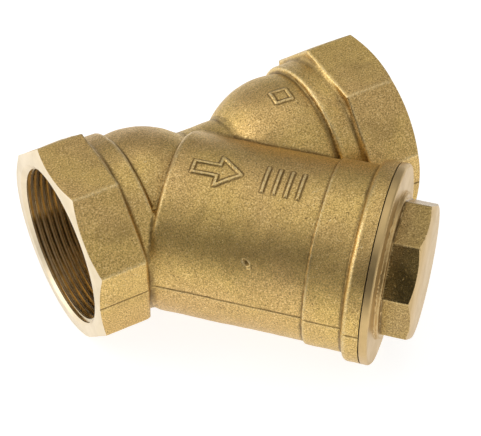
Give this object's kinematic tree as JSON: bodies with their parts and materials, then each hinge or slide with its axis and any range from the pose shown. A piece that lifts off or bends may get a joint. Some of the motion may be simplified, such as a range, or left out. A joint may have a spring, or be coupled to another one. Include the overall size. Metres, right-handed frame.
{
  "type": "y strainer",
  "caption": "Y strainer for pipework: straight run with two octagonal threaded ports, slanted branch with a screwed octagon-head cap, and a removable perforated screen inside.",
  "frame": {"origin": "centre of the inlet face, on the axis of the run", "axes": "+X along the run, from the inlet to the outlet; +Z square to the plane that holds the run axis and the branch axis; the branch leaves towards +X and -Y at 45 degrees"},
  "size_m": [0.1292, 0.1239, 0.072],
  "materials": {
    "cast_brass": "matt, shot-blasted cast brass with bright machined end faces",
    "cap_brass": "turned and forged brass, satin",
    "gasket": "matt dark fibre gasket",
    "perforated_steel": "rolled perforated stainless sheet",
    "wire_mesh": "fine woven stainless wire",
    "ring_steel": "pressed stainless ring"
  },
  "bodies": {
    "housing": {"body": "cast_brass"},
    "screen": {"screen_tube": "perforated_steel", "screen_mesh": "wire_mesh", "screen_seat_ring": "ring_steel", "screen_base_ring": "ring_steel"},
    "gasket": {"cap_gasket": "gasket"},
    "cap": {"cap": "cap_brass"}
  },
  "joints": [
    {"name": "screen_withdrawal", "type": "slide", "parent": "housing", "child": "screen", "axis": [0.7071, -0.7071, 0], "range_m": [0, 0.075]},
    {"name": "cap_lift", "type": "slide", "parent": "screen", "child": "gasket", "axis": [0.7071, -0.7071, 0], "range_m": [0, 0.01501]},
    {"name": "cap_turn", "type": "hinge", "parent": "gasket", "child": "cap", "pos_m": [0.0339, 0, 0], "axis": [0.7071, -0.7071, 0], "range_deg": [0, 2700]}
  ],
  "couplings": [
    {"joint": "cap_lift", "follows": "cap_turn", "m_per_rad": 0.00031831}
  ]
}
